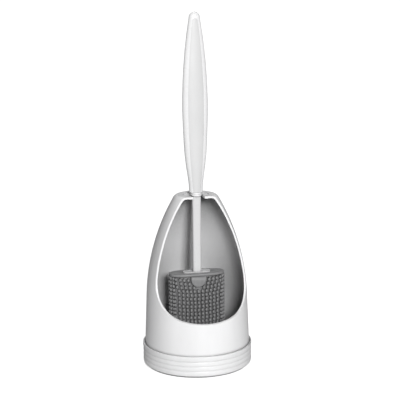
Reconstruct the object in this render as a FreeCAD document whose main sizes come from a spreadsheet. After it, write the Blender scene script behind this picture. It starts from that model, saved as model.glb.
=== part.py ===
import FreeCAD, Part
import math
import os
from types import SimpleNamespace

import Sketcher
from FreeCAD import Vector

# Toilet brush standing in an open-fronted bell holder.
# Origin: centre of the underside. +Z is up and the open front faces -Y. Millimetres.

DRIVING_SIZES = {
    # base tray and its anti-slip ring
    "base_radius": 65,
    "rim_top": 26.3,
    "foot_height": 2,
    "foot_radius": 61.8,
    "foot_width": 5,
    "tongue_height": 1.2,
    "tongue_width": 2,
    "floor_thickness": 2.6,
    "band_height": 5.6,
    "band_bulge": 0.5,
    "first_groove_height": 8.4,
    "groove_depth": 0.8,
    "rim_flat_height": 2.4,
    "rim_crown": 11,
    "rim_gap": 0.5,
    "upstand_height": 8,
    "upstand_width": 1.6,
    # bell-shaped holder shell
    "shell_wall": 1.9,
    "skirt_radius": 62.2,
    "shoulder_height": 86,
    "shoulder_radius": 59.8,
    "crown_height": 201.6,
    "crown_radius": 26.5,
    "holder_height": 204.7,
    "brow_radius": 6.6,
    "top_flat_radius": 20.5,
    "top_plate": 2.6,
    "ceiling_radius": 19.6,
    "recess_radius": 15.3,
    "recess_depth": 1.1,
    "seat_radius": 6.7,
    "mouth_half_width": 7,
    # scoop that opens the front, seen from the side
    "scoop_depth_top": 15.4,
    "scoop_bend_depth": 21.3,
    "scoop_bend_height": 112.3,
    "scoop_radius": 54.4,
    "scoop_run_depth": 54.4,
    "scoop_run_height": 65.8,
    "scoop_lip_depth": 60.5,
    "scoop_lip_height": 63.2,
    # brush
    "collar_radius": 7.9,
    "collar_thickness": 2,
    "collar_neck_radius": 6.8,
    "boss_radius": 6.3,
    "boss_depth": 1.4,
    "handle_foot": 207.5,
    "total_height": 416.6,
    "grip_half_width": 15,
    "grip_wide_height": 306.5,
    "grip_arc": 630,
    "grip_half_depth": 7,
    "grip_deep_height": 265,
    "grip_depth_arc": 3400,
    "neck_half_width": 8.2,
    "tip_length": 6.7,
    "panel_half_width": 9.2,
    "panel_foot_half_width": 4,
    "panel_top_half_width": 3.2,
    "panel_sink": 0.35,
    "panel_thickness": 1.5,
    "panel_top": 406.5,
    "spigot_radius": 3.4,
    "socket_depth": 45,
    "spigot_clearance": 0.05,
    "shaft_half_top": 5.2,
    "shaft_half_bottom": 5,
    "shaft_corner": 2.4,
    "head_top": 111,
    "head_bottom": 12,
    "head_half_width": 34.5,
    "head_half_depth": 12.8,
    "head_corner": 26,
    "plate_half_width": 33.2,
    "plate_half_depth": 12.2,
    "plate_thickness": 3.3,
    "flange_half_width": 16.5,
    "flange_half_depth": 5.4,
    "flange_rise": 0.8,
    "core_half_width": 26,
    "core_half_depth": 5.4,
    "core_bottom": 24,
    "head_socket_depth": 36,
}


class Size:
    """A length that carries both its value and the spreadsheet formula that drives it."""

    def __init__(self, value, formula):
        self.value = value
        self.formula = formula

    def combined(self, other, symbol, value):
        return Size(value, "({} {} {})".format(self.formula, symbol, as_size(other).formula))

    def __add__(self, other):
        return self.combined(other, "+", self.value + as_size(other).value)

    def __sub__(self, other):
        return self.combined(other, "-", self.value - as_size(other).value)

    def __mul__(self, other):
        return self.combined(other, "*", self.value * as_size(other).value)

    def __truediv__(self, other):
        return self.combined(other, "/", self.value / as_size(other).value)

    def __rmul__(self, other):
        return as_size(other) * self

    def __neg__(self):
        return Size(-self.value, "(-1 * {})".format(self.formula))

    def root(self):
        return Size(math.sqrt(self.value), "sqrt({})".format(self.formula))


def as_size(number):
    return number if isinstance(number, Size) else Size(float(number), repr(float(number)))


doc = FreeCAD.newDocument("ToiletBrushHolder")
sheet = doc.addObject("Spreadsheet::Sheet", "Sizes")
for row, (alias, number) in enumerate(DRIVING_SIZES.items(), start=1):
    sheet.set("A{}".format(row), alias)
    sheet.set("B{}".format(row), str(number))
    sheet.setAlias("B{}".format(row), alias)
doc.recompute()
d = SimpleNamespace(**{alias: Size(float(number), "Sizes.{}".format(alias))
                       for alias, number in DRIVING_SIZES.items()})


# ---------------------------------------------------------------- drawing helpers

def drive(item, name, size):
    """Bind a property to the spreadsheet, or set it when it is a plain number."""
    size = as_size(size)
    if "Sizes." in size.formula:
        item.setExpression(name, size.formula)
    else:
        setattr(item, name, size.value)


def origin_plane(body, role):
    return next(f for f in body.Origin.OriginFeatures if f.Role == role)


def new_body(label):
    body = doc.addObject("PartDesign::Body", label)
    body.Label = label
    return body


def new_sketch(body, name, plane, height=None):
    sketch = body.newObject("Sketcher::SketchObject", name)
    sketch.AttachmentSupport = (origin_plane(body, plane), "")
    sketch.MapMode = "FlatFace"
    if height is not None:
        sketch.setExpression("AttachmentOffset.Base.z", as_size(height).formula)
    return sketch


def pin_point(sketch, geometry, end, x, y):
    """Fix one end of a line or arc to its two driving coordinates."""
    for kind, size, axis in (("DistanceX", x, -2), ("DistanceY", y, -1)):
        size = as_size(size)
        if abs(size.value) < 1e-9:
            sketch.addConstraint(Sketcher.Constraint("PointOnObject", geometry, end, axis))
            continue
        ends = (-1, 1, geometry, end) if size.value > 0 else (geometry, end, -1, 1)
        index = sketch.addConstraint(Sketcher.Constraint(kind, *ends, abs(size.value)))
        if "Sizes." in size.formula:
            size = size if size.value > 0 else -size
            sketch.setExpression("Constraints[{}]".format(index), size.formula)


def arc_between(start, finish, radius):
    """Arc from start to finish; a positive radius curves it to the left of its travel."""
    chord = finish - start
    half = chord.Length / 2
    left = Vector(-chord.y, chord.x, 0).normalize()
    side = math.copysign(1, radius)
    centre = start + chord * 0.5 + left * side * math.sqrt(radius * radius - half * half)
    first, last = (start, finish) if radius > 0 else (finish, start)
    angles = [math.atan2(p.y - centre.y, p.x - centre.x) for p in (first, last)]
    return Part.ArcOfCircle(Part.Circle(centre, Vector(0, 0, 1), abs(radius)), *angles)


def draw_outline(sketch, steps):
    """Closed outline. A step is (x, y) for a line to there or (x, y, radius) for an arc."""
    points = [Vector(as_size(s[0]).value, as_size(s[1]).value, 0) for s in steps]
    for index, step in enumerate(steps):
        start = points[index - 1]
        finish = points[index]
        if len(step) == 2:
            geometry = sketch.addGeometry(Part.LineSegment(start, finish), False)
            ends = (1, 2)
        else:
            radius = as_size(step[2])
            geometry = sketch.addGeometry(arc_between(start, finish, radius.value), False)
            ends = (1, 2) if radius.value > 0 else (2, 1)
            bound = sketch.addConstraint(Sketcher.Constraint("Radius", geometry, abs(radius.value)))
            if "Sizes." in radius.formula:
                radius = radius if radius.value > 0 else -radius
                sketch.setExpression("Constraints[{}]".format(bound), radius.formula)
        if index:
            sketch.addConstraint(Sketcher.Constraint("Coincident", geometry, ends[0], *previous))
        else:
            opening = (geometry, ends[0])
        pin_point(sketch, geometry, ends[1], step[0], step[1])
        previous = (geometry, ends[1])
    sketch.addConstraint(Sketcher.Constraint("Coincident", *opening, *previous))
    return sketch


def draw_circle(sketch, radius, x=0, y=0):
    radius = as_size(radius)
    centre = Vector(as_size(x).value, as_size(y).value, 0)
    geometry = sketch.addGeometry(Part.Circle(centre, Vector(0, 0, 1), radius.value), False)
    pin_point(sketch, geometry, 3, x, y)
    index = sketch.addConstraint(Sketcher.Constraint("Radius", geometry, radius.value))
    sketch.setExpression("Constraints[{}]".format(index), radius.formula)
    return sketch


def revolve(body, name, steps, cut=False):
    """Turn an outline drawn beside the Z axis into a solid, or cut it away."""
    sketch = draw_outline(new_sketch(body, name + "_outline", "XZ_Plane"), steps)
    kind = "PartDesign::Groove" if cut else "PartDesign::Revolution"
    feature = body.newObject(kind, name)
    feature.Profile = sketch
    feature.ReferenceAxis = (sketch, ["V_Axis"])
    feature.Angle = 360
    return feature


def pad(body, name, sketch, length, midplane=False, reverse=False):
    feature = body.newObject("PartDesign::Pad", name)
    feature.Profile = sketch
    drive(feature, "Length", length)
    feature.Midplane = midplane
    feature.Reversed = reverse
    return feature


def pocket(body, name, sketch, length, midplane=False, reverse=False):
    """Cut the sketch away, and make sure that the cut points into the solid."""
    doc.recompute()
    before = body.Shape.Volume
    feature = body.newObject("PartDesign::Pocket", name)
    feature.Profile = sketch
    drive(feature, "Length", length)
    feature.Midplane = midplane
    feature.Reversed = reverse
    doc.recompute()
    if body.Shape.Volume > before - 1:
        raise RuntimeError("{} cuts nothing".format(name))
    return feature


def rounded_rectangle(half_x, half_y, corner):
    """Outline of a rectangle about the origin with round corners, anticlockwise."""
    flat_x = half_x - corner
    flat_y = half_y - corner
    return [
        (half_x, flat_y),
        (flat_x, half_y, corner),
        (-flat_x, half_y),
        (-half_x, flat_y, corner),
        (-half_x, -flat_y),
        (-flat_x, -half_y, corner),
        (flat_x, -half_y),
        (half_x, -flat_y, corner),
    ]


# ---------------------------------------------------------------- holder

FOOT_TOP = d.foot_height
FLOOR_TOP = d.foot_height + d.floor_thickness
FOOT_MIDDLE = d.foot_radius - d.foot_width / 2


def build_foot_ring():
    """Soft ring under the tray; its tongue sits in a groove of the tray."""
    inner = d.foot_radius - d.foot_width
    edge = 0.5  # bevel of the two bottom edges
    revolve(new_body("foot_ring"), "ring", [
        (inner, edge),
        (inner + edge, 0),
        (d.foot_radius - edge, 0),
        (d.foot_radius, edge),
        (d.foot_radius, FOOT_TOP),
        (FOOT_MIDDLE + d.tongue_width / 2, FOOT_TOP),
        (FOOT_MIDDLE + d.tongue_width / 2, FOOT_TOP + d.tongue_height),
        (FOOT_MIDDLE - d.tongue_width / 2, FOOT_TOP + d.tongue_height),
        (FOOT_MIDDLE - d.tongue_width / 2, FOOT_TOP),
        (inner, FOOT_TOP),
    ])


def build_base_tray():
    """Shallow drip tray whose rim takes the shell, with crowned bands round the outside."""
    tongue_slack = 0.1
    band_count = 3
    bands = []
    waist = d.base_radius - d.groove_depth
    crown = (d.band_height * d.band_height) / (d.band_bulge * 8)
    for index in range(band_count):
        bands.append((waist, d.first_groove_height + d.band_height * index, crown))
    inner = d.skirt_radius + d.rim_gap
    upstand_outside = d.skirt_radius - d.shell_wall - d.rim_gap
    upstand_inside = upstand_outside - d.upstand_width
    edge = 0.6  # bevel under the lowest band, and radius of the rim's outer edge
    revolve(new_body("base_tray"), "tray", [
        (0, FOOT_TOP),
        (FOOT_MIDDLE - d.tongue_width / 2 - tongue_slack, FOOT_TOP),
        (FOOT_MIDDLE - d.tongue_width / 2 - tongue_slack, FOOT_TOP + d.tongue_height + tongue_slack),
        (FOOT_MIDDLE + d.tongue_width / 2 + tongue_slack, FOOT_TOP + d.tongue_height + tongue_slack),
        (FOOT_MIDDLE + d.tongue_width / 2 + tongue_slack, FOOT_TOP),
        (waist - edge, FOOT_TOP),
        (waist, FOOT_TOP + edge),
        *bands,
        (d.base_radius, d.rim_top - d.rim_flat_height, d.rim_crown),
        (d.base_radius, d.rim_top - edge),
        (d.base_radius - edge, d.rim_top, edge),
        (inner, d.rim_top),
        (inner, FLOOR_TOP),
        (upstand_outside, FLOOR_TOP),
        (upstand_outside, FLOOR_TOP + d.upstand_height),
        (upstand_inside, FLOOR_TOP + d.upstand_height),
        (upstand_inside, FLOOR_TOP),
        (0, FLOOR_TOP),
    ])


def build_holder_shell():
    """Bell-shaped cover, scooped open at the front, with the slotted seat on its top."""
    body = new_body("holder_shell")
    # the bell's flank is tangent to the slightly tapered skirt at the shoulder
    run = d.crown_radius - d.shoulder_radius
    rise = d.crown_height - d.shoulder_height
    taper_run = d.shoulder_radius - d.skirt_radius
    taper_rise = d.shoulder_height - d.rim_top
    taper = (taper_run * taper_run + taper_rise * taper_rise).root()
    flank = (run * run + rise * rise) * taper / ((rise * taper_run - run * taper_rise) * 2)
    # unit vector square to the flank at the crown, along which the wall is measured
    lean_out = (run + flank * taper_rise / taper) / flank
    lean_up = (rise - flank * taper_run / taper) / flank
    revolve(body, "bell", [
        (0, FLOOR_TOP),
        (d.skirt_radius, FLOOR_TOP),
        (d.skirt_radius, d.rim_top),
        (d.shoulder_radius, d.shoulder_height),
        (d.crown_radius, d.crown_height, flank),
        (d.top_flat_radius, d.holder_height, d.brow_radius),
        (0, d.holder_height),
    ])
    doc.recompute()
    solid_volume = body.Shape.Volume
    ceiling = d.holder_height - d.top_plate
    below = FLOOR_TOP - 1
    revolve(body, "hollow", [
        (0, below),
        (d.skirt_radius - d.shell_wall, below),
        (d.skirt_radius - d.shell_wall, d.rim_top),
        (d.shoulder_radius - d.shell_wall, d.shoulder_height),
        (d.crown_radius - lean_out * d.shell_wall, d.crown_height - lean_up * d.shell_wall,
         flank - d.shell_wall),
        (d.ceiling_radius, ceiling, d.brow_radius - d.shell_wall),
        (0, ceiling),
    ], cut=True)
    doc.recompute()
    if body.Shape.Volume > solid_volume / 2:
        raise RuntimeError("the bell isn't hollow")

    margin = 10  # how far the cutting shapes reach past the shell
    above = d.holder_height + margin
    outside = d.base_radius + margin
    lip_slope = (d.scoop_run_height - d.scoop_lip_height) / (d.scoop_lip_depth - d.scoop_run_depth)
    scoop = draw_outline(new_sketch(body, "scoop_outline", "YZ_Plane"), [
        (-d.scoop_depth_top, above),
        (-outside, above),
        (-outside, d.scoop_lip_height - lip_slope * (outside - d.scoop_lip_depth)),
        (-d.scoop_run_depth, d.scoop_run_height),
        (-d.scoop_bend_depth, d.scoop_bend_height, d.scoop_radius),
    ])
    pocket(body, "scoop", scoop, outside * 2, midplane=True)

    recess = draw_circle(new_sketch(body, "recess_outline", "XY_Plane", d.holder_height), d.recess_radius)
    pocket(body, "recess", recess, d.recess_depth)

    # the slot widens from the seat towards the front, as a lead-in for the shaft
    seat = draw_circle(new_sketch(body, "seat_outline", "XY_Plane", d.holder_height), d.seat_radius)
    pocket(body, "seat", seat, d.top_plate * 2)
    slot = draw_outline(new_sketch(body, "slot_outline", "XY_Plane", d.holder_height), [
        (d.seat_radius, 0),
        (-d.seat_radius, 0),
        (-d.mouth_half_width, -d.recess_radius),
        (-d.mouth_half_width, -outside),
        (d.mouth_half_width, -outside),
        (d.mouth_half_width, -d.recess_radius),
    ])
    pocket(body, "slot", slot, d.top_plate * 2)


# ---------------------------------------------------------------- brush

COLLAR_FOOT = d.holder_height - d.recess_depth
SHAFT_TOP = COLLAR_FOOT - d.boss_depth
SOCKET_RADIUS = d.spigot_radius + d.spigot_clearance
FLANGE_TOP = d.head_top + d.flange_rise


def build_neck_collar():
    """Round collar that hangs the brush in the recess, with a boss that centres it in the seat."""
    edge = 0.4  # radius of the rim's edges
    revolve(new_body("neck_collar"), "collar", [
        (SOCKET_RADIUS, SHAFT_TOP),
        (d.boss_radius, SHAFT_TOP),
        (d.boss_radius, COLLAR_FOOT),
        (d.collar_radius - edge, COLLAR_FOOT),
        (d.collar_radius, COLLAR_FOOT + edge, edge),
        (d.collar_radius, COLLAR_FOOT + d.collar_thickness - edge),
        (d.collar_radius - edge, COLLAR_FOOT + d.collar_thickness, edge),
        (d.collar_neck_radius, d.handle_foot),
        (SOCKET_RADIUS, d.handle_foot),
    ])


def build_shaft():
    """Tapered square shaft with a round spigot at each end."""
    body = new_body("shaft")
    loft = body.newObject("PartDesign::AdditiveLoft", "taper")
    lower = draw_outline(new_sketch(body, "lower_section", "XY_Plane", FLANGE_TOP),
                         rounded_rectangle(d.shaft_half_bottom, d.shaft_half_bottom, d.shaft_corner))
    upper = draw_outline(new_sketch(body, "upper_section", "XY_Plane", SHAFT_TOP),
                         rounded_rectangle(d.shaft_half_top, d.shaft_half_top, d.shaft_corner))
    loft.Profile = lower
    loft.Sections = [upper]
    body.Tip = loft
    top = draw_circle(new_sketch(body, "top_spigot_outline", "XY_Plane", SHAFT_TOP), d.spigot_radius)
    pad(body, "top_spigot", top, d.socket_depth + d.boss_depth)
    end = draw_circle(new_sketch(body, "end_spigot_outline", "XY_Plane", FLANGE_TOP), d.spigot_radius)
    pad(body, "end_spigot", end, d.head_socket_depth, reverse=True)


def grip_half_width(height, inset=0):
    """Half the handle's width: a long arc about its widest place."""
    offset = height - d.grip_wide_height
    sag = d.grip_arc - (d.grip_arc * d.grip_arc - offset * offset).root()
    return d.grip_half_width - sag - inset


def grip_half_depth(height, inset=0):
    offset = height - d.grip_deep_height
    return d.grip_half_depth - offset * offset / (d.grip_depth_arc * 2) - inset


TIP_BASE = d.total_height - d.tip_length
NECK_SHARE = 0.03   # straight neck, as a share of the handle's length
SECTION_COUNT = 7   # sections of the loft above the neck
TIP_OVERLAP = 20    # degrees by which the tip's ellipsoid reaches down into the loft
PAST = 1            # millimetres by which a cutting shape reaches past what it cuts


def grip_blank(name, inset, stretch=0):
    """Lens-shaped handle blank: a loft of ellipses closed by half an ellipsoid at the tip."""
    span = TIP_BASE - d.handle_foot
    sections = []
    neck = [0, NECK_SHARE]
    for index, share in enumerate(neck + [0.15 * count for count in range(1, SECTION_COUNT)] + [1]):
        height = d.handle_foot + span * share
        width = d.neck_half_width - inset if share in neck else grip_half_width(height, inset)
        if share == 0:
            height = height - stretch
        ellipse = doc.addObject("Part::Ellipse", "{}_section_{}".format(name, index))
        drive(ellipse, "MajorRadius", width)
        drive(ellipse, "MinorRadius", grip_half_depth(height, inset))
        ellipse.setExpression("Placement.Base.z", height.formula)
        sections.append(ellipse)
    loft = doc.addObject("Part::Loft", name + "_loft")
    loft.Sections = sections
    loft.Solid = True
    loft.Ruled = False
    tip = doc.addObject("Part::Ellipsoid", name + "_tip")
    drive(tip, "Radius1", d.tip_length - inset)
    drive(tip, "Radius2", grip_half_width(TIP_BASE, inset))
    drive(tip, "Radius3", grip_half_depth(TIP_BASE, inset))
    tip.Angle1 = -TIP_OVERLAP
    tip.setExpression("Placement.Base.z", TIP_BASE.formula)
    blank = doc.addObject("Part::Fuse", name + "_blank")
    blank.Base = loft
    blank.Tool = tip
    return blank


def cylinder(name, radius, bottom, length):
    item = doc.addObject("Part::Cylinder", name)
    drive(item, "Radius", radius)
    drive(item, "Height", length)
    item.setExpression("Placement.Base.z", bottom.formula)
    return item


def boolean(kind, name, base, tool):
    item = doc.addObject("Part::" + kind, name)
    item.Base = base
    item.Tool = tool
    return item


def build_handle():
    """Handle body with a pocket for the front panel, and the panel that fills it."""
    outline = new_panel_outline()
    prism = doc.addObject("Part::Extrusion", "panel_prism")
    prism.Base = outline
    prism.DirMode = "Custom"
    prism.Dir = Vector(0, -1, 0)
    drive(prism, "LengthFwd", d.grip_half_width)
    prism.Solid = True
    core = grip_blank("panel_back", d.panel_sink + d.panel_thickness, stretch=PAST * 2)
    pocket_tool = boolean("Cut", "panel_pocket", prism, core)
    pocketed = boolean("Cut", "handle_pocketed", grip_blank("grip", 0), pocket_tool)
    socket = cylinder("handle_socket", SOCKET_RADIUS, d.handle_foot - PAST, d.socket_depth - PAST)
    handle = boolean("Cut", "handle_body", pocketed, socket)
    handle.Label = "handle_body"
    face = grip_blank("panel_face", d.panel_sink)
    panel = boolean("Common", "front_panel", pocket_tool, face)
    panel.Label = "front_panel"
    return [handle, panel]


def arc_upright_at_start(run, rise):
    """Radius of an arc that sets off upright and ends a given way across and along."""
    return (run * run + rise * rise) / (run * 2)


def new_panel_outline():
    """Lens-shaped outline of the front panel, widest where the handle is."""
    carrier = doc.addObject("PartDesign::Body", "panel_carrier")
    sketch = new_sketch(carrier, "panel_outline", "XZ_Plane")
    foot = d.handle_foot - PAST
    foot_width = d.panel_foot_half_width
    widest = d.panel_half_width
    top_width = d.panel_top_half_width
    lower_arc = arc_upright_at_start(widest - foot_width, d.grip_wide_height - foot)
    upper_arc = arc_upright_at_start(widest - top_width, d.panel_top - d.grip_wide_height)
    arch = top_width * 1.02  # a shade over half a circle's radius, which the outline's arcs can't close
    return draw_outline(sketch, [
        (foot_width, foot),
        (widest, d.grip_wide_height, lower_arc),
        (top_width, d.panel_top, upper_arc),
        (-top_width, d.panel_top, arch),
        (-widest, d.grip_wide_height, upper_arc),
        (-foot_width, foot, lower_arc),
    ])


END_FLAT = 0.4      # straight stretch left at each rounded end of the head's sections
SIDE_FLAT = 1.5     # the same on the paddle
SOCKET_SPARE = 0.5  # depth left under the shaft's end


def build_head_core():
    """Stiff core of the head: an oval flange round the shaft and a flat blade below it."""
    body = new_body("head_core")
    blade = draw_outline(new_sketch(body, "blade_outline", "XY_Plane", d.core_bottom),
                         rounded_rectangle(d.core_half_width, d.core_half_depth,
                                           d.core_half_depth - END_FLAT))
    pad(body, "blade", blade, d.head_top - d.plate_thickness - d.core_bottom)
    flange = draw_outline(new_sketch(body, "flange_outline", "XY_Plane", FLANGE_TOP),
                          rounded_rectangle(d.flange_half_width, d.flange_half_depth,
                                            d.flange_half_depth - END_FLAT))
    pad(body, "flange", flange, d.plate_thickness + d.flange_rise, reverse=True)
    socket = draw_circle(new_sketch(body, "socket_outline", "XY_Plane", FLANGE_TOP), SOCKET_RADIUS)
    pocket(body, "socket", socket, d.head_socket_depth + SOCKET_SPARE)
    return body


def build_head_silicone(core):
    """Outer envelope of the soft paddle, moulded round the core."""
    under_plate = d.head_top - d.plate_thickness
    front_view = doc.addObject("PartDesign::Body", "paddle_front_view")
    slab = draw_outline(new_sketch(front_view, "slab_outline", "XZ_Plane"), [
        (d.head_half_width, under_plate),
        (-d.head_half_width, under_plate),
        (-d.head_half_width, d.head_bottom + d.head_corner),
        (-(d.head_half_width - d.head_corner), d.head_bottom, d.head_corner),
        (d.head_half_width - d.head_corner, d.head_bottom),
        (d.head_half_width, d.head_bottom + d.head_corner, d.head_corner),
    ])
    pad(front_view, "slab", slab, d.head_half_depth * 4, midplane=True)

    top_view = doc.addObject("PartDesign::Body", "paddle_top_view")
    column = draw_outline(new_sketch(top_view, "column_outline", "XY_Plane", d.head_bottom),
                          rounded_rectangle(d.head_half_width, d.head_half_depth,
                                            d.head_half_depth - SIDE_FLAT))
    pad(top_view, "column", column, under_plate - d.head_bottom)

    plate = doc.addObject("PartDesign::Body", "paddle_plate")
    top = draw_outline(new_sketch(plate, "plate_outline", "XY_Plane", under_plate),
                       rounded_rectangle(d.plate_half_width, d.plate_half_depth,
                                         d.plate_half_depth - END_FLAT))
    pad(plate, "plate", top, d.plate_thickness)

    paddle = boolean("Common", "paddle", front_view, top_view)
    blank = boolean("Fuse", "head_blank", paddle, plate)
    silicone = boolean("Cut", "head_silicone", blank, core_filled(core))
    silicone.Label = "head_silicone"
    return silicone


def core_filled(core):
    """The core with its socket closed, so that the soft part has no hole under the shaft."""
    depth = d.head_socket_depth + SOCKET_SPARE
    plug = cylinder("socket_plug", SOCKET_RADIUS, FLANGE_TOP - depth, depth)
    return boolean("Fuse", "core_filled", core, plug)


build_foot_ring()
build_base_tray()
build_holder_shell()
build_neck_collar()
build_shaft()
handle_parts = build_handle()
head_core = build_head_core()
head_silicone = build_head_silicone(head_core)
doc.recompute()

# ---------------------------------------------------------------- checks and export

SUB_PARTS = ["foot_ring", "base_tray", "holder_shell", "neck_collar", "shaft",
             "handle_body", "front_panel", "head_core", "head_silicone"]

for item in doc.Objects:
    if "Invalid" in item.State or "Error" in item.State:
        raise RuntimeError("{} failed: {}".format(item.Label, item.State))

os.makedirs("parts", exist_ok=True)
for label in SUB_PARTS:
    shape = doc.getObjectsByLabel(label)[0].Shape
    if shape.isNull() or not shape.isValid() or len(shape.Solids) != 1:
        raise RuntimeError("{} is not one valid solid".format(label))
    shape.Solids[0].exportStep(os.path.join("parts", label + ".step"))
    print("{:14s} {:9.1f} mm3  z {:6.1f} to {:6.1f}".format(
        label, shape.Volume, shape.BoundBox.ZMin, shape.BoundBox.ZMax))
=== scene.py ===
import math

import bmesh
import bpy
from mathutils import Matrix, Vector


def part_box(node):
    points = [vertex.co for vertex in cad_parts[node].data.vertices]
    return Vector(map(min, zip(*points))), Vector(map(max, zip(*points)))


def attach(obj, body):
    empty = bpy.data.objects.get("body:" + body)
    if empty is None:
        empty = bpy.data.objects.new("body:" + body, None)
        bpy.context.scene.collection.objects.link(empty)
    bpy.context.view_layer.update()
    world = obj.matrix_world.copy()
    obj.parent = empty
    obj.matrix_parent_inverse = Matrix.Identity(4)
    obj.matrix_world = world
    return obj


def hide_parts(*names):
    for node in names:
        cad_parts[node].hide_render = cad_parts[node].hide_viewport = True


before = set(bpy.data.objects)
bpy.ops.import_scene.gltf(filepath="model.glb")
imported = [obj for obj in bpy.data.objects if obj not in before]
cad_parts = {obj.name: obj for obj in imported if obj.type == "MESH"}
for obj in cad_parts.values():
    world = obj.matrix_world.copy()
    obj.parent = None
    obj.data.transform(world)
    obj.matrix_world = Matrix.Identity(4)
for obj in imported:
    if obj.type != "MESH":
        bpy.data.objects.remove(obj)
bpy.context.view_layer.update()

MM = 0.001


# ---------------------------------------------------------------- camera

CAMERA_DISTANCE = 1.443     # metres in front of the brush's axis
CAMERA_HEIGHT = 0.509
CAMERA_AZIMUTH = math.radians(-12.7)
CAMERA_PITCH = math.radians(12.18)
CAMERA_YAW = math.radians(0.19)
CAMERA_ROLL = math.radians(-0.5)
FOCAL_LENGTH = 113.3        # millimetres
SENSOR_WIDTH = 36           # millimetres
CAMERA_REACH = 50           # metres that the camera sees


def make_camera():
    """Camera a little above the brush's top, and left of the holder's front."""
    forward = Vector((math.sin(CAMERA_YAW) * math.cos(CAMERA_PITCH),
                      math.cos(CAMERA_YAW) * math.cos(CAMERA_PITCH),
                      -math.sin(CAMERA_PITCH)))
    right = Vector((math.cos(CAMERA_YAW), -math.sin(CAMERA_YAW), 0))
    up = right.cross(forward)
    rolled_right = right * math.cos(CAMERA_ROLL) + up * math.sin(CAMERA_ROLL)
    rolled_up = up * math.cos(CAMERA_ROLL) - right * math.sin(CAMERA_ROLL)
    place = Matrix((rolled_right, rolled_up, -forward)).transposed().to_4x4()
    place.translation = Vector((0, -CAMERA_DISTANCE, CAMERA_HEIGHT))
    data = bpy.data.cameras.new("camera")
    data.lens = FOCAL_LENGTH
    data.sensor_width = SENSOR_WIDTH
    data.clip_end = CAMERA_REACH
    camera = bpy.data.objects.new("camera", data)
    camera.matrix_world = Matrix.Rotation(CAMERA_AZIMUTH, 4, "Z") @ place
    bpy.context.scene.collection.objects.link(camera)
    bpy.context.scene.camera = camera


# ---------------------------------------------------------------- material kit

class Paint:
    """A material's node tree, with short ways to add and join nodes."""

    def __init__(self, name):
        self.material = bpy.data.materials.new(name)
        self.material.use_nodes = True
        self.tree = self.material.node_tree
        self.shader = self.tree.nodes["Principled BSDF"]
        self.place = self.tree.nodes.new("ShaderNodeTexCoord").outputs["Object"]

    def node(self, kind, **settings):
        node = self.tree.nodes.new("ShaderNode" + kind)
        for key, value in settings.items():
            setattr(node, key, value)
        return node

    def join(self, source, target):
        self.tree.links.new(source, target)

    def noise(self, size, detail=3, roughness=0.5, stretch=(1, 1, 1)):
        """Noise whose blotches are about this many metres across."""
        node = self.node("TexNoise")
        node.inputs["Scale"].default_value = 1 / size
        node.inputs["Detail"].default_value = detail
        node.inputs["Roughness"].default_value = roughness
        scaling = self.node("Mapping")
        scaling.inputs["Scale"].default_value = stretch
        self.join(self.place, scaling.inputs["Vector"])
        self.join(scaling.outputs["Vector"], node.inputs["Vector"])
        return node.outputs["Fac"]

    def specks(self, size, share):
        """1 in small round specks about this many metres apart, 0 between them."""
        node = self.node("TexVoronoi")
        node.inputs["Scale"].default_value = 1 / size
        self.join(self.place, node.inputs["Vector"])
        return self.remap(node.outputs["Distance"], share, share * 0.5, 0, 1)

    def remap(self, source, low, high, to_low, to_high):
        node = self.node("MapRange")
        for name, value in (("From Min", low), ("From Max", high), ("To Min", to_low), ("To Max", to_high)):
            node.inputs[name].default_value = value
        self.join(source, node.inputs["Value"])
        return node.outputs["Result"]

    def calc(self, operation, first, second):
        node = self.node("Math", operation=operation)
        for socket, value in zip(node.inputs, (first, second)):
            if isinstance(value, (int, float)):
                socket.default_value = value
            else:
                self.join(value, socket)
        return node.outputs[0]

    def blend(self, share, first, second):
        """Colour between two, each a colour or another blend's output."""
        node = self.node("Mix", data_type="RGBA")
        self.join(share, node.inputs["Factor"])
        for name, value in (("A", first), ("B", second)):
            socket = next(s for s in node.inputs if s.name == name and s.type == "RGBA")
            if isinstance(value, tuple):
                socket.default_value = (*value, 1)
            else:
                self.join(value, socket)
        return next(s for s in node.outputs if s.type == "RGBA")

    def rounded_edges(self, radius):
        """Rounded normals at sharp edges, and 1 on the edge itself fading to 0 beside it."""
        bevel = self.node("Bevel", samples=6)
        bevel.inputs["Radius"].default_value = radius
        facing = self.node("VectorMath", operation="DOT_PRODUCT")
        geometry = self.node("NewGeometry")
        self.join(bevel.outputs["Normal"], facing.inputs[0])
        self.join(geometry.outputs["True Normal"], facing.inputs[1])
        edge = self.remap(facing.outputs["Value"], 0.99, 0.8, 0, 1)
        return bevel.outputs["Normal"], edge

    def faces_axis(self):
        """1 on a wall that faces the Z axis, as a bell's inside does, and 0 on its outside."""
        outward = self.node("VectorMath", operation="MULTIPLY")
        outward.inputs[1].default_value = (1, 1, 0)
        self.join(self.place, outward.inputs[0])
        facing = self.node("VectorMath", operation="DOT_PRODUCT")
        self.join(outward.outputs["Vector"], facing.inputs[0])
        self.join(self.node("NewGeometry").outputs["True Normal"], facing.inputs[1])
        return self.remap(facing.outputs["Value"], -8 * MM, -14 * MM, 0, 1)

    def openness(self, reach, closed, open_):
        """0 deep in a corner and 1 in the open, for painted shade in corners, gaps and hollows."""
        node = self.node("AmbientOcclusion", samples=12)
        node.inputs["Distance"].default_value = reach
        return self.remap(node.outputs["AO"], closed, open_, 0, 1)

    def bump(self, height, depth, under=None):
        node = self.node("Bump")
        node.inputs["Strength"].default_value = 1
        node.inputs["Distance"].default_value = depth
        self.join(height, node.inputs["Height"])
        if under is not None:
            self.join(under, node.inputs["Normal"])
        return node.outputs["Normal"]

    def finish(self, color, roughness, normal, **constants):
        self.join(color, self.shader.inputs["Base Color"])
        self.join(roughness, self.shader.inputs["Roughness"])
        self.join(normal, self.shader.inputs["Normal"])
        for name, value in constants.items():
            self.shader.inputs[name.replace("_", " ")].default_value = value
        return self.material


def shade(color, factor):
    return tuple(channel * factor for channel in color)
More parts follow.
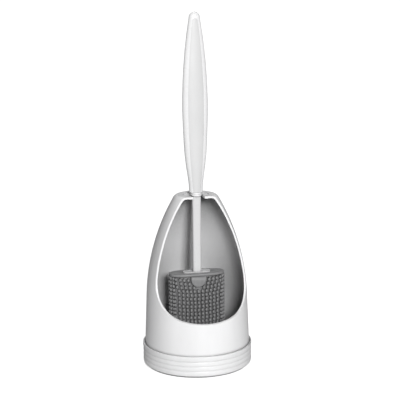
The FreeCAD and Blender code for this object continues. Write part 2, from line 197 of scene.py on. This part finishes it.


# ---------------------------------------------------------------- materials

# reach of the painted shade, then the openness that counts as shut in and the one that counts as open
BELL_HOLLOW = (45 * MM, 0.46, 0.88)
CREVICES = (3 * MM, 0.6, 0.98)
NUB_GAPS = (4 * MM, 0.28, 0.8)
INNER_WALL_SHADE = 0.72           # factor on the colour of inner walls where they are open: painted shade


def moulded_plastic(name, color, roughness, grain_depth=0.012 * MM, edge=0.35 * MM,
                    stretch=(1, 1, 1), inside=1, crevice_shade=0.6):
    """Injection-moulded plastic: faint flow clouding, a fine skin, matt and slightly darker handling marks,
    sharp edges lighter with wear and a painted highlight.

    inside and crevice_shade are factors on the colour, painted shade: deep in a hollow whose walls face
    the Z axis, and in narrow gaps and corners. Being painted into the colour, they stay in every light.
    """
    paint = Paint(name)
    rounded, edge_mask = paint.rounded_edges(edge)
    clouds = paint.noise(28 * MM, detail=4, stretch=stretch)
    scuffs = paint.noise(5 * MM, detail=6, roughness=0.7)
    scratches = paint.noise(1.6 * MM, detail=2, stretch=(1, 1, 0.08))
    body = paint.blend(paint.remap(clouds, 0.35, 0.65, 0, 1), shade(color, 0.955), color)
    if inside < 1:
        # painted shade: the bell's inner walls darker, darkest deep in the hollow
        bell_shade = paint.blend(paint.openness(*BELL_HOLLOW), shade(color, inside), shade(color, INNER_WALL_SHADE))
        body = paint.blend(paint.faces_axis(), body, bell_shade)
    # painted shade in narrow gaps, grooves and corners
    body = paint.blend(paint.openness(*CREVICES), shade(color, crevice_shade), body)
    marked = paint.blend(paint.remap(scuffs, 0.6, 0.8, 0, 0.35), body, shade(color, 0.9))
    # sharp edges lighter: wear and a painted highlight
    painted_edge = paint.blend(paint.calc("MULTIPLY", edge_mask, 0.5), marked, shade(color, 1.06))
    gloss = paint.remap(scuffs, 0.35, 0.75, roughness - 0.05, roughness + 0.12)
    gloss = paint.calc("ADD", gloss, paint.remap(scratches, 0.62, 0.75, 0, 0.12))
    skin = paint.bump(paint.noise(0.6 * MM, detail=2), grain_depth, rounded)
    waves = paint.bump(clouds, 0.05 * MM, skin)
    return paint.finish(painted_edge, gloss, waves, Specular_IOR_Level=0.4)


def grained_plastic(name, color, roughness):
    """Spark-eroded matt plastic of the grip's front panel: fine even grain, polished where held.

    Darker along its edge, in the joint with the grip: painted shade.
    """
    paint = Paint(name)
    rounded, edge_mask = paint.rounded_edges(0.5 * MM)
    grain = paint.node("TexVoronoi", feature="SMOOTH_F1")
    grain.inputs["Scale"].default_value = 1 / (0.55 * MM)
    paint.join(paint.place, grain.inputs["Vector"])
    clouds = paint.noise(18 * MM, detail=3, stretch=(1, 1, 0.4))
    polish = paint.noise(30 * MM, detail=2, stretch=(1, 1, 0.5))
    body = paint.blend(paint.remap(clouds, 0.35, 0.65, 0, 1), shade(color, 0.95), color)
    pits = paint.blend(paint.remap(grain.outputs["Distance"], 0.2, 0.7, 0, 0.3), body, shade(color, 0.88))
    # painted shade: darker along the panel's edge, in the joint with the grip
    painted_edge = paint.blend(paint.calc("MULTIPLY", edge_mask, 0.8), pits, shade(color, 0.72))
    gloss = paint.remap(polish, 0.3, 0.7, roughness + 0.08, roughness - 0.08)
    return paint.finish(painted_edge, gloss, paint.bump(grain.outputs["Distance"], 0.02 * MM, rounded),
                        Specular_IOR_Level=0.35)


def silicone(name, color, roughness):
    """Soft grey silicone: cloudy and matt, with painted shade down between the nubs and a little lint on it.
    """
    paint = Paint(name)
    clouds = paint.noise(9 * MM, detail=4)
    dust = paint.noise(2.2 * MM, detail=5, roughness=0.65)
    lint = paint.specks(1.9 * MM, 0.14)
    cloudy = paint.blend(paint.remap(clouds, 0.3, 0.7, 0, 1), shade(color, 0.9), shade(color, 1.08))
    # painted shade down between the nubs and in corners
    body = paint.blend(paint.openness(*NUB_GAPS), shade(color, 0.13), cloudy)
    dusty = paint.blend(paint.remap(dust, 0.55, 0.8, 0, 0.3), body, shade(color, 1.5))
    specked = paint.blend(paint.calc("MULTIPLY", lint, 0.18), dusty, shade(color, 2.2))
    gloss = paint.remap(dust, 0.3, 0.75, roughness - 0.1, roughness + 0.12)
    skin = paint.bump(paint.noise(0.5 * MM, detail=3), 0.02 * MM)
    return paint.finish(specked, gloss, skin, Specular_IOR_Level=0.45, Sheen_Weight=0.12,
                        Sheen_Roughness=0.5)


def rubber(name, color, roughness):
    """Anti-slip rubber: matt, finely pitted, with pale dust rubbed into it."""
    paint = Paint(name)
    pits = paint.noise(0.7 * MM, detail=4, roughness=0.6)
    dust = paint.noise(6 * MM, detail=5, roughness=0.7)
    body = paint.blend(paint.remap(pits, 0.3, 0.7, 0, 1), shade(color, 0.8), color)
    dusty = paint.blend(paint.remap(dust, 0.5, 0.8, 0, 0.5), body, shade(color, 1.8))
    gloss = paint.remap(dust, 0.3, 0.7, roughness - 0.05, roughness + 0.1)
    return paint.finish(dusty, gloss, paint.bump(pits, 0.05 * MM), Specular_IOR_Level=0.3)


WHITE = (0.78, 0.78, 0.785)
PALE_GREY = (0.61, 0.61, 0.612)
HEAD_GREY = (0.21, 0.21, 0.213)
FOOT_GREY = (0.3, 0.3, 0.302)


def paint_frame():
    """Finish for every piece that is carried over from the CAD model."""
    finishes = {
        # inside and crevice_shade paint shade into the colour: inside the bell, in grooves and gaps, and
        # under the collar
        "holder_shell": moulded_plastic("shell_plastic", WHITE, 0.34, stretch=(1, 1, 0.35), inside=0.1,
                                        crevice_shade=0.75),
        "base_tray": moulded_plastic("tray_plastic", WHITE, 0.36, edge=0.15 * MM, crevice_shade=0.2),
        "foot_ring": rubber("foot_rubber", FOOT_GREY, 0.75),
        "neck_collar": moulded_plastic("collar_plastic", WHITE, 0.3, edge=0.2 * MM, crevice_shade=0.12),
        "shaft": moulded_plastic("shaft_plastic", shade(WHITE, 0.79), 0.3, stretch=(1, 1, 0.2)),
        "handle_body": moulded_plastic("handle_plastic", WHITE, 0.26, grain_depth=0.006 * MM,
                                       stretch=(1, 1, 0.3)),
        "front_panel": grained_plastic("panel_plastic", PALE_GREY, 0.42),
        "head_core": moulded_plastic("core_plastic", shade(WHITE, 0.95), 0.4),
        "head_silicone": silicone("head_silicone_plain", HEAD_GREY, 0.55),
    }
    for name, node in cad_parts.items():
        node.data.materials.clear()
        node.data.materials.append(finishes[name])


# ---------------------------------------------------------------- stage and light

FLOOR_SIZE = 1.6            # metres from the centre to each edge
FLOOR_GREY = 0.6
FLOOR_GLOW = 0.8            # light that the floor gives off, to the camera only
WORLD_SEEN = 1.1            # brightness of the white all round, to the camera only
WORLD_LIT = 0.045           # its brightness as a light on everything else
LIGHT_AIM = Vector((0, 0, 0.2))
LIGHT_DISTANCE = 2.4        # metres from there to each soft box


def make_stage():
    """Plain pale floor, white enough to the camera to run into the white beyond it."""
    mesh = bpy.data.meshes.new("floor")
    shape = bmesh.new()
    corners = [(-1, -1), (1, -1), (1, 1), (-1, 1)]
    shape.faces.new([shape.verts.new((x * FLOOR_SIZE, y * FLOOR_SIZE, 0)) for x, y in corners])
    shape.to_mesh(mesh)
    shape.free()
    floor = bpy.data.objects.new("floor", mesh)
    bpy.context.scene.collection.objects.link(floor)
    paint = Paint("floor_paint")
    paint.shader.inputs["Base Color"].default_value = (FLOOR_GREY, FLOOR_GREY, FLOOR_GREY, 1)
    paint.shader.inputs["Roughness"].default_value = 0.9
    paint.shader.inputs["Emission Color"].default_value = (1, 1, 1, 1)
    seen = paint.node("LightPath").outputs["Is Camera Ray"]
    paint.join(paint.calc("MULTIPLY", seen, FLOOR_GLOW), paint.shader.inputs["Emission Strength"])
    mesh.materials.append(paint.material)


def area_light(name, azimuth, elevation, size, power):
    """Soft box aimed at the object, in degrees, metres and watts; azimuth 0 is in front of the holder."""
    a = math.radians(azimuth)
    e = math.radians(elevation)
    data = bpy.data.lights.new(name, "AREA")
    data.shape = "RECTANGLE"
    data.size, data.size_y = size
    data.energy = power
    lamp = bpy.data.objects.new(name, data)
    direction = Vector((math.sin(a) * math.cos(e), -math.cos(a) * math.cos(e), math.sin(e)))
    lamp.location = LIGHT_AIM + LIGHT_DISTANCE * direction
    lamp.rotation_euler = (LIGHT_AIM - lamp.location).to_track_quat("-Z", "Y").to_euler()
    bpy.context.scene.collection.objects.link(lamp)


def make_light():
    """White all round, but dimmer as a light than to the eye, with a soft box in front and one behind."""
    world = bpy.data.worlds.new("studio")
    bpy.context.scene.world = world
    world.use_nodes = True
    tree = world.node_tree
    seen = tree.nodes["Background"]
    seen.inputs["Color"].default_value = (1, 1, 1, 1)
    seen.inputs["Strength"].default_value = WORLD_SEEN
    lit = tree.nodes.new("ShaderNodeBackground")
    lit.inputs["Color"].default_value = (1, 1, 1, 1)
    lit.inputs["Strength"].default_value = WORLD_LIT
    rays = tree.nodes.new("ShaderNodeLightPath")
    choice = tree.nodes.new("ShaderNodeMixShader")
    tree.links.new(rays.outputs["Is Camera Ray"], choice.inputs[0])
    tree.links.new(lit.outputs[0], choice.inputs[1])
    tree.links.new(seen.outputs[0], choice.inputs[2])
    tree.links.new(choice.outputs[0], tree.nodes["World Output"].inputs["Surface"])
    area_light("key", azimuth=-2.5, elevation=18, size=(0.5, 0.36), power=61)
    area_light("back", azimuth=180, elevation=62, size=(0.8, 0.8), power=26)
    bpy.context.scene.view_settings.view_transform = "Standard"


# ---------------------------------------------------------------- brush head

HEAD_LOW, HEAD_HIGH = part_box("head_silicone")
HEAD_HALF_WIDTH = (HEAD_HIGH[0] - HEAD_LOW[0]) / 2
HEAD_HALF_DEPTH = (HEAD_HIGH[1] - HEAD_LOW[1]) / 2
HEAD_TOP = HEAD_HIGH[2]
HEAD_BOTTOM = HEAD_LOW[2]
PLATE_THICKNESS = 3.3 * MM
UNDER_PLATE = HEAD_TOP - PLATE_THICKNESS
HEAD_CORNER = 26 * MM       # radius of the two bottom corners, seen from the front
NUB_RADIUS = 1.6 * MM
NUB_STRETCH = 1.35          # a nub's height over its width
NUB_HALF_HEIGHT = NUB_RADIUS * NUB_STRETCH
NUB_COLUMN = 4.6 * MM       # spacing of the columns
NUB_ROW = 4.6 * MM          # spacing along a column
COLUMNS_EACH_SIDE = 6       # columns of nubs either side of the middle one
ROW_BEND = 2.4 * MM         # how far the rows rise from the middle to the sides
NUB_WOBBLE = 0.4 * MM       # how far a nub stands off its place in the pattern
FAN_OUT = 2.3 * MM          # how far the columns move over beside the boss, all but the middle one
FAN_STEP = 0.35 * MM        # and how much more for each column from the middle
NUBBED_SHARE = 0.9          # part of the core's width that has nubs on the front and the back
END_ANGLES = (40, 65, 90, 115, 140)     # directions of the nubs round an end, in degrees from the front
NUB_DEPTH = 4.2 * MM        # how far the longest nubs stand off the paddle's core
END_NUB_INSET = 0.3 * MM    # how far the tips round the ends stay inside the head's outline
SIDE_WALL = 2.2 * MM        # how far the core's sides and bottom stay inside the head's outline
CORE_HALF_DEPTH = HEAD_HALF_DEPTH - NUB_DEPTH
OVAL_POWER = 2.7            # 2 is an ellipse; more is fuller
FLANGE_HALF_WIDTH = 16.5 * MM   # the core's flange, that comes up through a hole in the plate
FLANGE_HALF_DEPTH = 5.4 * MM
BOSS_RADIUS = 9.15 * MM
BOSS_HEIGHT = 13 * MM       # from the plate down to the lowest point of its round end
BOSS_INSET = 0.5 * MM       # how far the boss's face stays inside the head's outline
BOSS_CENTRE = UNDER_PLATE - BOSS_HEIGHT + BOSS_RADIUS
PLATE_SIDE_INSET = 1.3 * MM     # how far the plate stays inside the head's outline, at its ends
PLATE_FACE_INSET = 0.6 * MM     # and at its front and back
RING_POINTS = 60            # points in each ring of the core and the plate
CORNER_STEPS = RING_POINTS // 4 - 1


def outline_half_width(z, inset):
    """Half the head's width at a height, seen from the front, less an inset."""
    corner_centre = HEAD_BOTTOM + HEAD_CORNER
    if z >= corner_centre:
        return HEAD_HALF_WIDTH - inset
    corner = HEAD_CORNER - inset
    drop = min(corner_centre - z, corner)
    return HEAD_HALF_WIDTH - HEAD_CORNER + math.sqrt(corner * corner - drop * drop)


def core_half_depth(z):
    """Half the core's depth at a height: it is rounded off towards the bottom."""
    edge_centre = HEAD_BOTTOM + SIDE_WALL + CORE_HALF_DEPTH
    if z >= edge_centre:
        return CORE_HALF_DEPTH
    drop = min(edge_centre - z, CORE_HALF_DEPTH)
    return max(math.sqrt(CORE_HALF_DEPTH ** 2 - drop * drop), 0.05 * MM)


def oval_edge(along, half_along, half_across):
    """How far an oval reaches across, at a distance along its other axis."""
    share = min(abs(along) / half_along, 1)
    return half_across * (1 - share ** OVAL_POWER) ** (1 / OVAL_POWER)


def oval_outline(half_x, half_y, z):
    """Ring of points round an oval that is a little fuller than an ellipse."""
    ring = []
    for k in range(RING_POINTS):
        angle = 2 * math.pi * k / RING_POINTS
        c, s = math.cos(angle), math.sin(angle)
        ring.append(Vector((math.copysign(half_x * abs(c) ** (2 / OVAL_POWER), c),
                            math.copysign(half_y * abs(s) ** (2 / OVAL_POWER), s), z)))
    return ring


def in_boss(x, z, margin):
    """True inside the smooth U-shaped boss under the plate, grown by a margin."""
    if z > BOSS_CENTRE:
        return abs(x) < BOSS_RADIUS + margin
    return math.hypot(x, z - BOSS_CENTRE) < BOSS_RADIUS + margin


def column_place(column, z):
    """Distance of a column from the middle: columns fan out to pass beside the boss."""
    start = BOSS_CENTRE - BOSS_RADIUS * 2
    share = min(max((z - start) / (BOSS_CENTRE - start), 0), 1)
    eased = share * share * (3 - 2 * share)
    if column == 0:
        return 0
    return column * NUB_COLUMN + math.copysign(eased * (FAN_OUT + FAN_STEP * abs(column)), column)


def wobble(column, row):
    """Small repeatable offset, so that soft nubs don't stand in a perfect grid."""
    return NUB_WOBBLE * math.sin(7 * column + 3.7 * row)


def nub_places():
    """Place, root and tip depth of every nub on the front face, column by column."""
    places = []
    for column in range(-COLUMNS_EACH_SIDE, COLUMNS_EACH_SIDE + 1):
        rise = ROW_BEND * (column / COLUMNS_EACH_SIDE) ** 2
        top = UNDER_PLATE - NUB_HALF_HEIGHT - ROW_BEND + rise
        for row in range(math.ceil((top - HEAD_BOTTOM) / NUB_ROW)):
            z = top - row * NUB_ROW
            x = column_place(column, z) + wobble(column, row)
            root = oval_edge(x, outline_half_width(z, SIDE_WALL), core_half_depth(z))
            envelope = oval_edge(abs(x) + NUB_RADIUS * 0.7, outline_half_width(z, 0), HEAD_HALF_DEPTH)
            tip = min(envelope, root + NUB_DEPTH)
            inside = abs(x) < outline_half_width(z - NUB_RADIUS, SIDE_WALL) * NUBBED_SHARE
            if inside and tip - root > NUB_RADIUS and not in_boss(x, z, NUB_RADIUS * 0.9):
                places.append((x, z, root, tip))
    return places


def oval_reach(angle, centre, half_x, half_y):
    """Distance from a point on an oval's long axis to its edge; angle 0 is square to that axis."""
    near, far = 0, half_x
    for _ in range(30):
        middle = (near + far) / 2
        x = (centre + middle * math.sin(angle)) / half_x
        y = middle * abs(math.cos(angle)) / half_y
        if x ** OVAL_POWER + y ** OVAL_POWER < 1:
            near = middle
        else:
            far = middle
    return near


def end_nub_places():
    """Turn, distance of the turning centre, height, root and tip of the nubs round one narrow end."""
    places = []
    for column, degrees in enumerate(END_ANGLES):
        angle = math.radians(degrees)
        top = UNDER_PLATE - NUB_HALF_HEIGHT
        for row in range(math.floor((top - HEAD_BOTTOM - HEAD_CORNER * 0.4) / NUB_ROW)):
            z = top - row * NUB_ROW
            centre = outline_half_width(z, SIDE_WALL) - CORE_HALF_DEPTH
            root = oval_reach(angle, centre, outline_half_width(z, SIDE_WALL), core_half_depth(z))
            tip = oval_reach(angle, centre, outline_half_width(z, 0) - END_NUB_INSET, HEAD_HALF_DEPTH)
            places.append((angle, centre, z + wobble(column, row) / 2, root, tip))
    return places


def add_rings(shape, rings, close_start=False, close_end=False):
    """Skin a list of equal rings of points, and cap either end."""
    loops = [[shape.verts.new(p) for p in ring] for ring in rings]
    count = len(loops[0])
    for lower, upper in zip(loops, loops[1:]):
        for i in range(count):
            j = (i + 1) % count
            shape.faces.new((lower[i], lower[j], upper[j], upper[i]))
    if close_start:
        shape.faces.new(list(reversed(loops[0])))
    if close_end:
        shape.faces.new(loops[-1])


def add_nub(shape, x, z, root, tip, turn, centre=0):
    """Round-tipped, slightly tapered peg along -Y, turned about an upright line at (centre, 0)."""
    sides = 10
    dome = NUB_RADIUS * 0.6
    straight = tip - dome
    profile = [(root - 1.2 * MM, NUB_RADIUS * 1.2), (root + 0.3 * MM, NUB_RADIUS * 1.02),
               ((root + straight) / 2, NUB_RADIUS * 0.93)]
    profile += [(straight + dome * math.sin(a), NUB_RADIUS * 0.88 * math.cos(a))
                for a in (math.radians(angle) for angle in (0, 28, 54, 76))]
    spin = Matrix.Rotation(turn, 3, "Z")
    rings = []
    for depth, radius in profile:
        ring = [spin @ Vector((x + radius * math.cos(t), -depth, z + NUB_STRETCH * radius * math.sin(t)))
                for t in (2 * math.pi * k / sides for k in range(sides))]
        rings.append([point + Vector((centre, 0, 0)) for point in ring])
    add_rings(shape, rings, close_end=True)


def rounded_outline(half_x, half_y, corner, z):
    """Ring of points round a rectangle with round corners."""
    ring = []
    for quadrant in range(4):
        sign_x = 1 if quadrant in (0, 3) else -1
        sign_y = 1 if quadrant in (0, 1) else -1
        for k in range(CORNER_STEPS + 1):
            angle = math.radians(90 * (quadrant + k / CORNER_STEPS))
            ring.append(Vector((sign_x * (half_x - corner) + corner * math.cos(angle),
                                sign_y * (half_y - corner) + corner * math.sin(angle), z)))
    return ring


def add_core(shape):
    """Smooth body of the paddle, from under the plate down to its rounded bottom."""
    bottom = HEAD_BOTTOM + SIDE_WALL
    heights = [bottom + CORE_HALF_DEPTH * (1 - math.cos(math.radians(a))) for a in range(4, 90, 8)]
    steps = 26
    heights += [bottom + CORE_HALF_DEPTH + (UNDER_PLATE - bottom - CORE_HALF_DEPTH) * i / steps
                for i in range(steps + 1)]
    rings = [oval_outline(outline_half_width(z, SIDE_WALL), core_half_depth(z), z) for z in heights]
    add_rings(shape, rings, close_start=True, close_end=True)


def add_plate(shape):
    """Top plate: rounded rim, a shallow dished top and a hole for the core's flange."""
    half_x = HEAD_HALF_WIDTH - PLATE_SIDE_INSET
    half_y = HEAD_HALF_DEPTH - PLATE_FACE_INSET
    # millimetres in from the plate's edge, and up from its underside
    profile = [(1.6, 0), (0.5, 0.1), (0.1, 0.6), (0, 1.3), (0.05, 2.2), (0.35, 2.9), (0.9, 3.22), (1.5, 3.3),
               (2.1, 3.2), (2.8, 3.05)]
    rings = []
    for inset, height in profile:
        z = UNDER_PLATE + height * MM
        rings.append(oval_outline(half_x - inset * MM, half_y - inset * MM, z))
    top = UNDER_PLATE + profile[-1][1] * MM
    for grow, z in ((0.5 * MM, top), (0, top - 0.2 * MM), (0, UNDER_PLATE)):
        x, y = FLANGE_HALF_WIDTH + grow, FLANGE_HALF_DEPTH + grow
        rings.append(rounded_outline(x, y, y - 0.3 * MM, z))
    add_rings(shape, rings, close_start=True)


def add_boss(shape, front):
    """Smooth U-shaped boss under the plate, nearly as proud as the nubs; front is -1 or 1."""
    steps = 24

    def outline(inset, depth):
        radius = BOSS_RADIUS - inset
        ring = [Vector((radius * math.cos(t), front * depth, BOSS_CENTRE - radius * math.sin(t)))
                for t in (math.pi * k / steps for k in range(steps + 1))]
        ring.append(Vector((-radius, front * depth, UNDER_PLATE)))
        ring.append(Vector((radius, front * depth, UNDER_PLATE)))
        return ring

    proud = HEAD_HALF_DEPTH - BOSS_INSET
    # millimetres in from the boss's edge, and depth from the head's middle
    profile = [
        (-0.7, CORE_HALF_DEPTH - 0.5 * MM),
        (-0.3, CORE_HALF_DEPTH + 0.2 * MM),
        (0, CORE_HALF_DEPTH + 0.9 * MM),
        (0.05, proud - 0.8 * MM),
        (0.3, proud - 0.25 * MM),
        (0.9, proud),
        (1.8, proud + 0.1 * MM),
    ]
    rings = [outline(inset * MM, depth) for inset, depth in profile]
    if front > 0:
        rings = [list(reversed(ring)) for ring in rings]
    add_rings(shape, rings, close_end=True)


def make_head():
    """Nubbed silicone head, moulded in one with its top plate."""
    shape = bmesh.new()
    add_core(shape)
    add_plate(shape)
    for front in (-1, 1):
        add_boss(shape, front)
    for turn in (0, math.pi):
        for place in nub_places():
            add_nub(shape, *place, turn)
    for end in (-1, 1):
        for angle, centre, z, root, tip in end_nub_places():
            add_nub(shape, 0, z, root, tip, end * angle, end * centre)
    bmesh.ops.recalc_face_normals(shape, faces=shape.faces)
    for face in shape.faces:
        face.smooth = True
    mesh = bpy.data.meshes.new("brush_head")
    shape.to_mesh(mesh)
    shape.free()
    mesh.materials.append(silicone("head_silicone_soft", HEAD_GREY, 0.5))
    head = bpy.data.objects.new("brush_head", mesh)
    bpy.context.scene.collection.objects.link(head)
    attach(head, "brush")
    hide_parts("head_silicone")


make_camera()
make_stage()
make_light()
paint_frame()
make_head()
